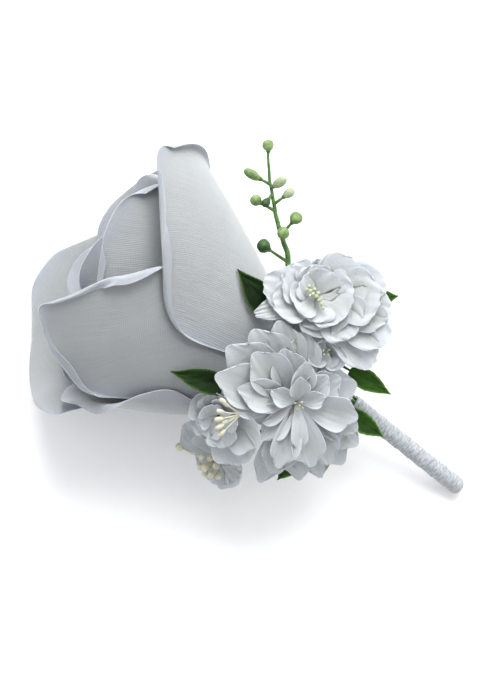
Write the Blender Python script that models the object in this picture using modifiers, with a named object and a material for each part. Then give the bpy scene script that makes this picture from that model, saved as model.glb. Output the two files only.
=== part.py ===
"""A boutonniere of silk flowers lying on its back.

One large rose, five small blossoms, a berry sprig and leaves are wired together, and white tape
wraps their wires into one stem. Every sub-part is an object of its own, and each flower hangs from
an empty at its heart. Sizes are in millimetres, turned to metres where a point enters a mesh.
"""

import math

import bmesh
import bpy
import numpy as np
from mathutils import Matrix, Vector

MM = 0.001
UP = Vector((0.0, 0.0, 1.0))

# Rose: it opens along its own +Z, and its +Y is the side that faces up as it lies.
ROSE_HEART = (9.8, -18.1, 21.5)
ROSE_HEADING = 149.0  # degrees in plan
ROSE_RISE = 8.0  # degrees, the axis climbs towards the rim
ROSE_FLATNESS = 0.68  # height over width of the rose as it lies
CUP_RADIUS = 22.0
FLANK_BELLY = 1.6  # the flanks bow out this far between the round bottom and the rim
BELLY_LENGTH = 52.0
RIM_BULGE = 2.2  # a petal stands this much taller in its middle
ROSE_SHEET = 0.4
PETAL_GAP = 1.4
CLEARANCE = 0.3  # between pieces that touch

# Blossoms, leaves and berries.
BLOSSOM_SHEET = 0.35
LAYER_STEP = 1.5
LAYER_HOLE = 0.09  # of a petal's length, open round the stamens
LEAST_HOLE = 1.7
PETAL_NOTCH = 0.28  # a layer draws in between two petals by this share of their length
PETAL_RELAX = 0.35  # a petal's climb eases by this share towards its tip
PETAL_RUFFLE = 0.5
STAMEN_LIFT = 1.2  # the stamens' disc stands this far above the top layer
LEAF_SHEET = 0.4
LEAF_FOLD = 0.30  # each half of a leaf rises by this share of its width
CALYX_DROP = 4.0  # a blossom's wire starts this far under its heart
ROSE_CALYX_DROP = 5.6

# Stem: the wires run side by side inside the tape.
STEM_TOP = (30.2, -24.4, 12.5)
STEM_END = (60.8, -48.5, 0.5)
STEM_OVERHANG = 1.2  # the tape closes this far past the wires
TAPE_INNER = 2.2
TAPE_OUTER = 2.55
ROSE_WIRE = 0.75
WIRE = 0.5
WIRE_CIRCLE = 1.6
SPRIG_SLOT = 195
WIRE_SLOTS = {"blossom_d": -20, "blossom_c": 25, "blossom_b": 68, "blossom_e": 110, "blossom_a": 152}

# A ring of rose petals: inset from the outer cup and the slant of the flank, in degrees.
RINGS = {
    "outer": (0.0, 28.4),
    "second": (6.0, 24.0),
    "third": (11.0, 17.0),
    "bud": (15.6, 8.0),
}

# Rose petals: ring, level inside the ring, and rows of (height along the axis, angle from, angle to).
# Angle 0 is the rose's right flank, 90 its upper side, 180 its left flank and 270 the table side.
ROSE_PETALS = {
    "rose_petal_right": ("outer", 0, (
        (3, 10, 60), (12, -15, 85), (22, -28, 92), (33, -32, 91), (42, -30, 79), (50, -18, 64),
        (56, 4, 57), (61, 34, 54))),
    "rose_petal_front": ("outer", 1, (
        (3, 75, 115), (12, 58, 130), (25, 55, 140), (38, 58, 142), (48, 68, 139), (55, 80, 134),
        (62, 90, 128), (70, 98, 114))),
    "rose_petal_left": ("outer", 0, (
        (3, 170, 215), (12, 148, 235), (25, 136, 245), (36, 140, 248), (44, 146, 246),
        (49, 152, 236), (52, 162, 220))),
    "rose_petal_back_left": ("outer", 1, (
        (3, 225, 285), (12, 205, 300), (25, 190, 310), (40, 185, 305), (51, 192, 300),
        (58, 206, 290), (63, 228, 284), (68, 248, 272))),
    "rose_petal_back_right": ("outer", 2, (
        (3, 290, 345), (12, 275, 360), (25, 265, 372), (38, 265, 373), (48, 268, 362),
        (54, 270, 346), (58, 273, 326), (61, 277, 302))),
    "rose_petal_inner_1": ("second", 0, (
        (8, 40, 90), (20, 15, 110), (38, 5, 122), (52, 12, 118), (60, 30, 105), (64, 50, 85))),
    "rose_petal_inner_2": ("second", 1, (
        (8, 130, 180), (20, 105, 200), (38, 95, 210), (51, 100, 196), (58, 112, 176), (62, 126, 154))),
    "rose_petal_inner_3": ("second", 0, (
        (8, 215, 265), (20, 195, 285), (38, 185, 297), (52, 192, 290), (61, 210, 272), (65, 228, 255))),
    "rose_petal_inner_4": ("second", 1, (
        (8, 300, 350), (20, 280, 370), (38, 270, 382), (49, 278, 372), (55, 292, 352), (59, 305, 335))),
    "rose_petal_heart_1": ("third", 0, (
        (13, 20, 100), (26, -5, 130), (42, -10, 140), (55, 5, 125), (62, 30, 100), (65, 50, 80))),
    "rose_petal_heart_2": ("third", 1, (
        (13, 140, 220), (26, 110, 245), (42, 105, 255), (55, 120, 240), (62, 145, 215), (65, 165, 195))),
    "rose_petal_heart_3": ("third", 0, (
        (13, 255, 320), (26, 228, 345), (42, 222, 348), (55, 235, 335), (62, 260, 310), (65, 275, 295))),
    "rose_petal_bud_1": ("bud", 0, (
        (18, 0, 150), (30, -30, 190), (45, -30, 190), (57, -10, 170), (63, 40, 120))),
    "rose_petal_bud_2": ("bud", 1, (
        (18, 190, 330), (30, 165, 355), (45, 165, 355), (57, 185, 335), (63, 220, 300))),
}
BUD_CORE = ((14.0, 1.0), (21.0, 1.4), (26.0, 2.6), (36.0, 3.6), (46.0, 3.9), (54.0, 3.4), (60.0, 1.6))

# Blossoms: heart, the way the face looks, and the stamped layers, lowest first. A layer lists its
# petals as (direction in degrees, length, climb in degrees), all about the blossom's own axis.
BLOSSOMS = {
    "blossom_a": ((18.8, 4.6, 37.0), (0.22, 0.22, 0.95), (
        ("outer_layer", ((20, 21, 10), (92, 12.5, 22), (160, 16, 24), (232, 17.5, 18), (306, 23, 2))),
        ("middle_layer", ((55, 15, 26), (128, 12.5, 32), (198, 14, 32), (270, 16, 26), (342, 18, 18))),
        ("inner_layer", ((15, 9, 48), (87, 9, 48), (159, 9, 48), (231, 9, 48), (303, 9, 48))),
    )),
    "blossom_b": ((13.2, -22.8, 34.0), (0.16, -0.22, 0.96), (
        ("outer_layer", ((10, 19, -8), (70, 15, 0), (128, 22, 18), (190, 14, 18), (250, 25, -18), (305, 26, -26))),
        ("second_layer", ((40, 14, 8), (100, 13, 16), (160, 16, 30), (220, 14, 18), (280, 20, -2), (335, 18, -4))),
        ("third_layer", ((15, 13, 26), (87, 13, 34), (150, 13, 40), (225, 12, 32), (300, 15, 18))),
        ("inner_layer", ((50, 8, 58), (140, 8, 58), (230, 8, 58), (320, 8, 50))),
    )),
    "blossom_c": ((-7.2, -27.2, 36.5), (-0.25, -0.35, 0.90), (
        ("outer_layer", ((120, 10, 26), (180, 10.5, 14), (235, 13, 2), (285, 13, 4))),
        ("inner_layer", ((90, 7, 52), (162, 7, 46), (234, 8, 40), (306, 8, 46))),
    )),
    "blossom_d": ((-7.6, -39.6, 20.0), (-0.45, -0.35, 0.82), (
        ("layer", ((30, 9, 30), (102, 9, 24), (174, 8, 8), (246, 9, 8), (318, 10, 24))),
    )),
    "blossom_e": ((21.6, -8.4, 35.4), (0.10, -0.25, 0.96), (
        ("layer", ((225, 4.5, 50), (315, 5, 45), (45, 4, 55), (135, 4, 55))),
    )),
}

# Stamens: count, circle at the base, circle at the tips, height, filament radius, head (radius, length).
STAMENS = {
    "blossom_a": (6, 0.9, 2.4, 7.0, 0.22, 0.42, 1.0),
    "blossom_b": (5, 0.6, 1.4, 3.6, 0.22, 0.40, 0.9),
    "blossom_c": (6, 0.75, 4.0, 7.5, 0.25, 0.75, 1.9),
    "blossom_d": (7, 1.1, 3.0, 5.0, 0.28, 0.85, 1.9),
    "blossom_e": (4, 0.6, 1.0, 1.8, 0.22, 0.40, 0.8),
}

# Sprig: points along the main stem with its radius, and berries as (place on it, radius, stretch, end).
SPRIG_STEM = (
    ((11.5, 12.2, 22.0), 0.80), ((11.8, 17.0, 22.5), 0.75), ((10.2, 22.0, 23.0), 0.66),
    ((8.6, 27.5, 23.5), 0.58), ((7.6, 33.0, 24.0), 0.50), ((6.6, 39.0, 24.0), 0.42),
    ((6.2, 46.1, 24.2), 0.34))
SPRIG_BERRIES = {
    "berry_top": ((6.3, 44.5, 24.0), (6.2, 48.0, 24.4), 1.62, 1.0),
    "berry_pale_1": ((7.0, 36.0, 24.0), (9.4, 37.6, 25.6), 1.40, 1.7),
    "berry_pale_2": ((7.9, 31.6, 23.9), (12.0, 34.6, 25.2), 1.30, 1.4),
    "berry_long": ((6.9, 37.0, 24.0), (1.8, 39.8, 24.8), 1.35, 2.0),
    "berry_left": ((8.2, 29.6, 23.7), (2.8, 32.6, 24.6), 1.62, 1.0),
    "berry_dark_bud": ((7.4, 34.4, 24.0), (5.6, 31.9, 26.6), 1.20, 1.25),
    "berry_right": ((9.9, 23.0, 23.1), (14.0, 27.6, 25.0), 1.80, 1.0),
    "berry_front": ((9.0, 26.0, 23.4), (10.4, 23.4, 27.2), 1.72, 1.0),
    "berry_low": ((11.6, 15.4, 22.4), (5.0, 19.8, 24.0), 1.95, 1.0),
}

# Leaves: base, tip, half width, and how far the blade bows up in the middle.
LEAVES = {
    "leaf_upper_left": ((7.0, 1.5, 37.4), (-2.4, 13.0, 41.2), 4.2, 1.0),
    "leaf_lower_left": ((-6.5, -17.5, 43.9), (-20.6, -14.9, 44.4), 3.9, 1.6),
    "leaf_right_tip": ((33.0, 4.5, 33.0), (42.4, 5.7, 31.0), 3.0, 0.6),
    "leaf_right": ((29.0, -14.0, 27.0), (40.4, -21.6, 22.0), 3.4, 1.0),
    "leaf_stem": ((39.0, -33.2, 13.8), (29.0, -26.0, 18.4), 3.9, 0.8),
    "leaf_bottom": ((16.0, -37.0, 18.0), (9.0, -46.2, 11.5), 3.6, 0.8),
    "leaf_bottom_right": ((22.0, -33.0, 15.5), (21.4, -45.6, 11.0), 3.4, 0.8),
}


def clear_scene():
    for obj in list(bpy.data.objects):
        bpy.data.objects.remove(obj, do_unlink=True)


def collection(name):
    made = bpy.data.collections.new(name)
    bpy.context.scene.collection.children.link(made)
    return made


def material(name, color, roughness, metallic=0.0):
    made = bpy.data.materials.new(name)
    made.use_nodes = True
    shader = made.node_tree.nodes["Principled BSDF"]
    shader.inputs["Base Color"].default_value = (*color, 1.0)
    shader.inputs["Roughness"].default_value = roughness
    shader.inputs["Metallic"].default_value = metallic
    return made


clear_scene()
PARTS = collection("boutonniere")
HELPERS = collection("cutters")
ROSE_SILK = material("white_rose_silk", (0.80, 0.81, 0.83), 0.75)
BLOSSOM_SILK = material("white_blossom_silk", (0.84, 0.85, 0.86), 0.72)
LEAF_CLOTH = material("green_leaf_cloth", (0.045, 0.13, 0.025), 0.65)
CALYX_GREEN = material("green_calyx_plastic", (0.10, 0.20, 0.05), 0.55)
BERRY_GREEN = material("green_berry_foam", (0.20, 0.32, 0.10), 0.60)
STAMEN_CREAM = material("cream_stamen_pearl", (0.75, 0.70, 0.50), 0.40)
STAMEN_GREEN = material("yellow_green_stamen", (0.55, 0.60, 0.25), 0.55)
TAPE_WHITE = material("white_stem_tape", (0.82, 0.83, 0.84), 0.45)
WIRE_GREEN = material("green_floral_wire", (0.06, 0.14, 0.05), 0.50, 0.3)


def empty(name, place, turn=None, parent=None):
    made = bpy.data.objects.new(name, None)
    made.location = Vector(place) * MM
    if turn is not None:
        made.rotation_euler = turn.to_euler()
    made.parent = parent
    PARTS.objects.link(made)
    return made


def link(name, data, finish, parent=None, into=None):
    made = bpy.data.objects.new(name, data)
    data.materials.append(finish)
    made.parent = parent
    (into or PARTS).objects.link(made)
    return made


def hide(helper):
    helper.hide_render = True
    helper.display_type = "WIRE"


def smooth(mesh, degrees=50):
    mesh.shade_smooth()
    mesh.set_sharp_from_angle(angle=math.radians(degrees))


def sheet(name, rows, finish, thickness, parent, closed=False):
    """An open surface through rows of points in millimetres, given a thickness."""
    shape = bmesh.new()
    grid = [[shape.verts.new(Vector(point) * MM) for point in row] for row in rows]
    across = len(grid[0])
    for low, high in zip(grid, grid[1:]):
        for i in range(across if closed else across - 1):
            j = (i + 1) % across
            shape.faces.new((low[i], low[j], high[j], high[i]))
    mesh = bpy.data.meshes.new(name)
    shape.to_mesh(mesh)
    shape.free()
    smooth(mesh)
    made = link(name, mesh, finish, parent)
    solid = made.modifiers.new("thickness", "SOLIDIFY")
    solid.thickness = thickness * MM
    solid.offset = 0.0
    return made


def turned(name, profile, finish, parent, sides=12, into=None):
    """A solid of revolution about +Z. The profile is (height, radius), and it ends on the axis."""
    low, high = profile[0], profile[-1]
    outline = [(high[0], 0.0), *reversed(profile), (low[0], 0.0)]
    mesh = bpy.data.meshes.new(name)
    points = [(radius * MM, 0.0, height * MM) for height, radius in outline]
    mesh.from_pydata(points, [(i, i + 1) for i in range(len(points) - 1)], [])
    made = link(name, mesh, finish, parent, into)
    screw = made.modifiers.new("turn", "SCREW")
    screw.steps = sides
    screw.render_steps = sides
    screw.use_merge_vertices = True
    screw.merge_threshold = 0.00001
    screw.use_smooth_shade = True
    return made


def tube(name, points, radii, finish, parent=None, into=None, rounds=1):
    """A closed round tube through points, as a mesh with its caps welded."""
    curve = bpy.data.curves.new(name + "_path", "CURVE")
    curve.dimensions = "3D"
    curve.bevel_depth = MM
    curve.bevel_resolution = rounds
    curve.use_fill_caps = True
    line = curve.splines.new("POLY")
    line.points.add(len(points) - 1)
    for spot, point, radius in zip(line.points, points, radii):
        spot.co = (*(Vector(point) * MM), 1.0)
        spot.radius = radius
    path = bpy.data.objects.new(name + "_path", curve)
    bpy.context.scene.collection.objects.link(path)
    bpy.context.view_layer.update()
    graph = bpy.context.evaluated_depsgraph_get()
    mesh = bpy.data.meshes.new_from_object(path.evaluated_get(graph))
    bpy.data.objects.remove(path, do_unlink=True)
    shape = bmesh.new()
    shape.from_mesh(mesh)
    bmesh.ops.remove_doubles(shape, verts=shape.verts, dist=0.000001)
    shape.to_mesh(mesh)
    shape.free()
    mesh.name = name
    smooth(mesh)
    return link(name, mesh, finish, parent, into)


def unite(base, others):
    """Joins other closed solids to base with Boolean unions, and puts them away as helpers."""
    for other in others:
        hide(other)
        join = base.modifiers.new("join_" + other.name, "BOOLEAN")
        join.operation = "UNION"
        join.solver = "EXACT"
        join.object = other
    return base


def aim(direction):
    """The turn that points +Z along direction and keeps +X to the right."""
    out = Vector(direction).normalized()
    upward = out.cross((1.0, 0.0, 0.0)).normalized()
    return Matrix((upward.cross(out), upward, out)).transposed()


def curve_through(points, count):
    """Evenly counted points on a smooth curve through a few points."""
    knots = np.array([points[0], *points, points[-1]], dtype=float)
    spots = []
    for step in np.linspace(0.0, len(points) - 1.0, count):
        k = min(int(step), len(points) - 2)
        t = step - k
        a, b, c, d = knots[k : k + 4]
        spots.append(tuple(0.5 * (2 * b + (c - a) * t + (2 * a - 5 * b + 4 * c - d) * t**2
                                  + (3 * b - a - 3 * c + d) * t**3)))
    return spots


# ---------------------------------------------------------------- rose


def cup_radius(height, inset, flank_angle):
    """Radius of a cup at a height on its axis: a round bottom and a slanting, slightly bowed flank."""
    ball = CUP_RADIUS - inset
    flank = math.radians(flank_angle)
    turn_height = CUP_RADIUS - ball * math.sin(flank)
    if height <= turn_height:
        drop = min(1.0, (CUP_RADIUS - height) / ball)
        return ball * math.sqrt(1.0 - drop * drop)
    belly = FLANK_BELLY * math.sin(math.pi * min(1.0, (height - turn_height) / BELLY_LENGTH))
    return ball * math.cos(flank) + (height - turn_height) * math.tan(flank) + belly


def rose_petal_rows(ring, level, rows, across=8, along=8):
    """A petal as rows of points, from its foot to its rim, on its own ring of the cup."""
    inset, flank = RINGS[ring]
    inset += level * PETAL_GAP
    path = curve_through(rows, along)
    surface = []
    for height, start, stop in path:
        ease = (height - path[0][0]) / (path[-1][0] - path[0][0])
        row = []
        for i in range(across):
            u = i / (across - 1)
            angle = math.radians(start + (stop - start) * u)
            lift = height + RIM_BULGE * ease * (1.0 - (2.0 * u - 1.0) ** 2)
            radius = cup_radius(max(lift, inset + 0.35), inset, flank)
            row.append((-radius * math.cos(angle), ROSE_FLATNESS * radius * math.sin(angle), lift))
        surface.append(row)
    return surface


def build_rose(root):
    heading = math.radians(ROSE_HEADING)
    rise = math.radians(ROSE_RISE)
    axis = Vector((math.cos(heading) * math.cos(rise), math.sin(heading) * math.cos(rise), math.sin(rise)))
    left = UP.cross(axis).normalized()
    upper = axis.cross(left).normalized()
    turn = Matrix((left, upper, axis)).transposed()
    rose = empty("rose", ROSE_HEART, turn, root)
    for name, (ring, level, rows) in ROSE_PETALS.items():
        sheet(name, rose_petal_rows(ring, level, rows), ROSE_SILK, ROSE_SHEET, rose)
    turned("rose_bud_core", BUD_CORE, ROSE_SILK, rose, 14)
    cup = ((-5.0, 1.4), (-3.6, 3.2), (-1.2, 5.0), (-0.4, 4.4), (-0.9, 3.0))
    turned("rose_calyx", cup, CALYX_GREEN, rose, 14)
    return axis


# ---------------------------------------------------------------- blossoms


def layer_rows(petals, rise, rounds=5, rings=4):
    """One stamped layer: a sheet about +Z whose lobes take each petal's length and climb."""
    surface = []
    count = len(petals)
    for ring in range(rings):
        reach = LAYER_HOLE + (1.0 - LAYER_HOLE) * ring / (rings - 1)
        row = []
        for k in range(count):
            here, beyond = petals[k], petals[(k + 1) % count]
            span = (beyond[0] - here[0]) % 360
            for step in range(rounds):
                t = step / rounds
                blend = 0.5 - 0.5 * math.cos(math.pi * t)
                length = here[1] + (beyond[1] - here[1]) * blend
                climb = math.radians(here[2] + (beyond[2] - here[2]) * blend)
                notch = math.sin(math.pi * t) ** 4
                length *= 1.0 - PETAL_NOTCH * notch * reach
                angle = math.radians(here[0] + span * t)
                out = max(LEAST_HOLE, length * reach)
                curl = climb * (1.0 - PETAL_RELAX * reach)
                ruffle = PETAL_RUFFLE * math.sin(2 * math.pi * t) * reach**2
                flat = out * math.cos(curl)
                row.append((flat * math.cos(angle), flat * math.sin(angle), rise + out * math.sin(curl) + ruffle))
        surface.append(row)
    return surface


def build_stamens(name, blossom, finish, rise, parent):
    count, base_circle, tip_circle, height, thread, head, head_length = STAMENS[blossom]
    disc = turned(name, ((rise - 0.5, base_circle + 0.2), (rise + 0.5, base_circle + 0.2)), finish, parent, 10)
    pieces = []
    for k in range(count):
        angle = 2 * math.pi * k / count
        spread = tip_circle * (1.0 if k % 2 else 0.8)
        tall = height * (1.0 if k % 2 else 0.86)
        out = Vector((math.cos(angle), math.sin(angle), 0.0))
        points = [out * base_circle * 0.55 + UP * rise,
                  out * (base_circle * 0.55 + spread) * 0.5 + UP * (rise + 0.55 * tall),
                  out * spread + UP * (rise + tall)]
        way = (points[2] - points[1]).normalized()
        swell = [points[2] + way * head_length * x for x in (0.3, 0.75, 1.0)]
        radii = [thread, thread, thread, head, head * 0.8, head * 0.3]
        pieces.append(tube(f"{name}_thread_{k + 1}", points + swell, radii, finish, parent, HELPERS))
    return unite(disc, pieces)


def build_blossom(name, root):
    heart, facing, layers = BLOSSOMS[name]
    here = empty(name, heart, aim(facing), root)
    for level, (layer, petals) in enumerate(layers):
        rows = layer_rows(petals, LAYER_STEP * level)
        sheet(f"{name}_{layer}", rows, BLOSSOM_SILK, BLOSSOM_SHEET, here, closed=True)
    rise = LAYER_STEP * (len(layers) - 1) + STAMEN_LIFT
    finish = STAMEN_CREAM if name in ("blossom_c", "blossom_d") else STAMEN_GREEN
    build_stamens(f"{name}_stamens", name, finish, rise, here)
    if name != "blossom_e":
        cup = ((-3.6, 0.9), (-2.8, 1.6), (-1.2, 1.7))
        turned(f"{name}_calyx", cup, CALYX_GREEN, here, 10)


# ---------------------------------------------------------------- sprig


def build_sprig(root):
    sprig = empty("sprig", (0, 0, 0), None, root)
    points = curve_through([point for point, _ in SPRIG_STEM], 12)
    radii = np.interp(np.linspace(0, 1, 12), np.linspace(0, 1, len(SPRIG_STEM)), [r for _, r in SPRIG_STEM])
    tail = wire_points(SPRIG_STEM[0][0], (0.2, -1.0, -0.2), SPRIG_SLOT)
    stem = tube("sprig_stem", tail[:0:-1] + points, [WIRE] * (len(tail) - 1) + list(radii), CALYX_GREEN, sprig)
    stalks = []
    for name, (start, centre, radius, stretch) in SPRIG_BERRIES.items():
        away = (Vector(centre) - Vector(start)).normalized()
        end = Vector(centre) - away * (radius * stretch + CLEARANCE)
        middle = (Vector(start) + end) / 2 + Vector((0, 0, 0.35))
        if name != "berry_top":
            stalks.append(tube(f"{name}_stalk", [start, middle, end], (0.42, 0.34, 0.34), CALYX_GREEN, sprig, HELPERS))
        profile = []
        for k in range(1, 7):
            angle = math.pi * k / 7
            profile.append((-radius * stretch * math.cos(angle), radius * math.sin(angle)))
        berry = turned(name, profile, BERRY_GREEN, sprig, 10)
        berry.location = Vector(centre) * MM
        berry.rotation_euler = aim(away).to_euler()
    unite(stem, stalks)


# ---------------------------------------------------------------- leaves


def build_leaf(name, root):
    base, tip, half_width, bow = LEAVES[name]
    base, tip = Vector(base), Vector(tip)
    along = tip - base
    side = along.cross(UP).normalized()
    lift = side.cross(along).normalized()
    rows = []
    for k in range(8):
        t = k / 7
        width = half_width * (0.22 + 0.78 * math.sin(math.pi * min(1.0, 0.25 + 0.75 * t)) ** 0.8)
        width = max(0.25, width * (1.0 - t**3) ** 0.8)
        middle = base + along * t + lift * bow * math.sin(math.pi * t)
        fold = LEAF_FOLD * width
        rows.append([middle + side * width * x + lift * fold * abs(x) for x in (-1.0, -0.5, 0.0, 0.5, 1.0)])
    sheet(name, rows, LEAF_CLOTH, LEAF_SHEET, root)


# ---------------------------------------------------------------- wires and stem


def stem_frame():
    top, end = Vector(STEM_TOP), Vector(STEM_END)
    axis = (end - top).normalized()
    side = axis.cross(UP).normalized()
    return top, end, axis, side, side.cross(axis).normalized()


def wire_points(start, leave, slot):
    """A wire's way from a flower to its place in the bundle, then down the stem."""
    top, end, axis, side, lift = stem_frame()
    offset = Vector((0, 0, 0))
    if slot is not None:
        angle = math.radians(slot)
        offset = (side * math.cos(angle) + lift * math.sin(angle)) * WIRE_CIRCLE
    start = Vector(start)
    leave = Vector(leave).normalized()
    bundle = top + offset
    bend = start + leave * min(5.0, 0.35 * (bundle - start).length)
    before = bundle - axis * 6.0 + offset * 1.3
    points = curve_through([start, bend, before, bundle, bundle + axis * 6.0], 14)
    points.append(tuple(end + offset))
    return points


def build_wire(name, start, leave, slot, radius, root):
    points = wire_points(start, leave, slot)
    return tube(name, points, [radius] * len(points), WIRE_GREEN, root)


def build_tape(root):
    """The wrapped tape: a tube round the wires, open at the top and closed at the cut end."""
    top, end, axis, _, _ = stem_frame()
    length = (end - top).length
    wall = TAPE_OUTER - TAPE_INNER
    outline = [(0.0, TAPE_INNER), (0.0, TAPE_OUTER + 0.25), (1.5, TAPE_OUTER + 0.1)]
    for k in range(1, 6):
        outline.append((1.5 + (length - 2.5) * k / 5, TAPE_OUTER + 0.08 * math.sin(2.2 * k)))
    outline += [(length + STEM_OVERHANG - 0.5, TAPE_OUTER - 0.1), (length + STEM_OVERHANG, TAPE_OUTER - 0.9),
                (length + STEM_OVERHANG, 0.0)]
    inner = [(length + STEM_OVERHANG - wall - CLEARANCE, 0.0), (length + 0.4, TAPE_INNER)]
    ring = outline + inner
    mesh = bpy.data.meshes.new("stem_tape")
    points = [(radius * MM, 0.0, height * MM) for height, radius in ring]
    edges = [(i, i + 1) for i in range(len(points) - 1) if i != len(outline) - 1]
    edges.append((len(points) - 1, 0))
    mesh.from_pydata(points, edges, [])
    tape = link("stem_tape", mesh, TAPE_WHITE, root)
    tape.location = top * MM
    tape.rotation_euler = aim(axis).to_euler()
    screw = tape.modifiers.new("turn", "SCREW")
    screw.steps = 16
    screw.render_steps = 16
    screw.use_merge_vertices = True
    screw.merge_threshold = 0.00001
    screw.use_smooth_shade = True
    screw.use_normal_flip = True


def settle(root):
    """Moves the whole arrangement so that the middle of its box's underside is at the origin."""
    bpy.context.view_layer.update()
    graph = bpy.context.evaluated_depsgraph_get()
    lows, highs = [], []
    for obj in PARTS.objects:
        if obj.type == "EMPTY":
            continue
        shape = obj.evaluated_get(graph).to_mesh()
        points = np.empty(len(shape.vertices) * 3)
        shape.vertices.foreach_get("co", points)
        matrix = np.array(obj.matrix_world)
        placed = points.reshape(-1, 3) @ matrix[:3, :3].T + matrix[:3, 3]
        lows.append(placed.min(axis=0))
        highs.append(placed.max(axis=0))
    low, high = np.min(lows, axis=0), np.max(highs, axis=0)
    root.location = (-(low[0] + high[0]) / 2, -(low[1] + high[1]) / 2, -low[2])


def build():
    root = empty("arrangement", (0, 0, 0))
    rose_axis = build_rose(root)
    for name in BLOSSOMS:
        build_blossom(name, root)
    build_sprig(root)
    for name in LEAVES:
        build_leaf(name, root)
    build_wire("rose_wire", Vector(ROSE_HEART) - rose_axis * ROSE_CALYX_DROP, -rose_axis, None, ROSE_WIRE, root)
    for name, slot in WIRE_SLOTS.items():
        heart, facing, _ = BLOSSOMS[name]
        facing = Vector(facing).normalized()
        build_wire(f"{name}_wire", Vector(heart) - facing * CALYX_DROP, -facing, slot, WIRE, root)
    build_tape(root)
    settle(root)


build()
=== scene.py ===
"""A boutonniere of white silk flowers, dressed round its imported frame.

Every petal is a thin sheet of cloth with its own curl. The rose, the blossoms and the berries take their
places from the frame's boxes, and the leaves, the sprig and the stem are laid out from the top berry's.
Lengths are in millimetres and turn to metres where a mesh is made.
"""

import math

import bpy
import numpy as np
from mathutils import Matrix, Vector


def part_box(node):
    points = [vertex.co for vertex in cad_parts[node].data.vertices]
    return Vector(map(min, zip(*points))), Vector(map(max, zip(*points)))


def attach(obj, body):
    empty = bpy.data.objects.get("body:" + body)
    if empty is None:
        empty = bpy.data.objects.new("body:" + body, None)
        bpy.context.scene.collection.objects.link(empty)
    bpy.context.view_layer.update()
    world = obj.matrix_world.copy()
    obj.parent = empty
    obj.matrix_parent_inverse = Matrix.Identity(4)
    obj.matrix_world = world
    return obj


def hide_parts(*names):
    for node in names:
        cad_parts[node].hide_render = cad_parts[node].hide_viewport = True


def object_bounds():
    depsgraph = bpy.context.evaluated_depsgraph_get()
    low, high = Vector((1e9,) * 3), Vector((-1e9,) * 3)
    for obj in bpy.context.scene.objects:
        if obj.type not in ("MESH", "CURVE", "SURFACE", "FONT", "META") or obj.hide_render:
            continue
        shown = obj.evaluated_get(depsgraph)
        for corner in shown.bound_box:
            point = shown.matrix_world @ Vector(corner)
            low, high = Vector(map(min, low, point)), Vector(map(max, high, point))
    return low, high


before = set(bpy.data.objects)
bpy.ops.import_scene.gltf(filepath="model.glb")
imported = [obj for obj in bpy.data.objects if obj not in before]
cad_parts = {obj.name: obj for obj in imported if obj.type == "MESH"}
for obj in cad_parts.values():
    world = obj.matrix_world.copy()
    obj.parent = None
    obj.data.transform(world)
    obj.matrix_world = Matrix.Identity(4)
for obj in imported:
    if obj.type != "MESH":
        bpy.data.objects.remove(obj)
cad_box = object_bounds()

MM = 0.001
UP = np.array((0.0, 0.0, 1.0))
SEED = 7

# ---------------------------------------------------------------- the arrangement's sizes

# Rose: it opens along its own axis, which lies almost level.
ROSE_HEADING = 149.0  # degrees in plan
ROSE_RISE = 8.0
ROSE_FLATNESS = 0.68  # height over width of the rose as it lies
CUP_RADIUS = 22.0
FLANK_BELLY = 1.6
BELLY_LENGTH = 52.0
PETAL_GAP = 1.4
RIM_BULGE = 2.2  # a petal stands this much taller in its middle
CORNER_DROP = 0.13  # and this share of its width lower at the corners of its rim
RIM_FLARE = 1.7  # the hem leans outward this far
FLARE_WIDTH = 6.5
DRAW_IN = 6.0  # the left petal leans inward at its rim
DRAW_IN_ANGLES = (142.0, 25.0)  # from this angle on, and in full this much further round
CALYX_DEPTH = 2.7  # from the middle of the rose's calyx to the heart of its cup
ROSE_CLOTH = 0.22
PETAL_ROWS = 64  # points along a rose petal, and as many across
MARGIN_STEPS = 12  # points across a margin's turn
RIPPLE = 0.30  # how far the press lets a petal wander from its cup
BUD_TURNS = 2.4
BUD_FOOT, BUD_HEIGHT = 15.0, 45.0
BUD_CORE, BUD_GROWTH = 0.8, 2.9  # the radius the strip starts at, and what its turns add
ROSE_CALYX = ((-5.4, 1.0), (-5.0, 1.5), (-3.6, 3.0), (-2.2, 4.0), (-1.0, 4.4), (-0.6, 3.6))  # level, radius

# Blossoms, leaves and stem.
BLOSSOM_CALYX_DEPTH = 2.4
BLOSSOM_CALYX = ((-3.8, 0.5), (-3.4, 1.0), (-2.6, 1.55), (-1.4, 1.75), (-1.0, 1.3))
BARE_BLOSSOM_DEPTH = 2.25  # blossom E has no calyx: from the middle of its stamens to its heart
BLOSSOM_CLOTH = 0.16
LEAF_CLOTH = 0.22
LAYER_STEP = 1.5
TAPE_RADIUS = 2.45
TAPE_PITCH = 4.6  # the ribbon advances this far in a turn
STEM_OVERHANG = 1.2  # the ribbon runs this far past the wires
TAPE_FOLD = 2.2  # and is folded shut over this length
FLOOR_GAP = 0.05  # nothing reaches lower than this
FLOOR_GIVE = 1.6  # cloth lower than this is pressed up by what it lies on

# A ring of rose petals: inset from the outer cup and the slant of the flank, in degrees.
RINGS = {"outer": (0.0, 28.4), "second": (6.0, 24.0), "third": (11.0, 17.0), "bud": (15.6, 8.0)}

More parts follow.
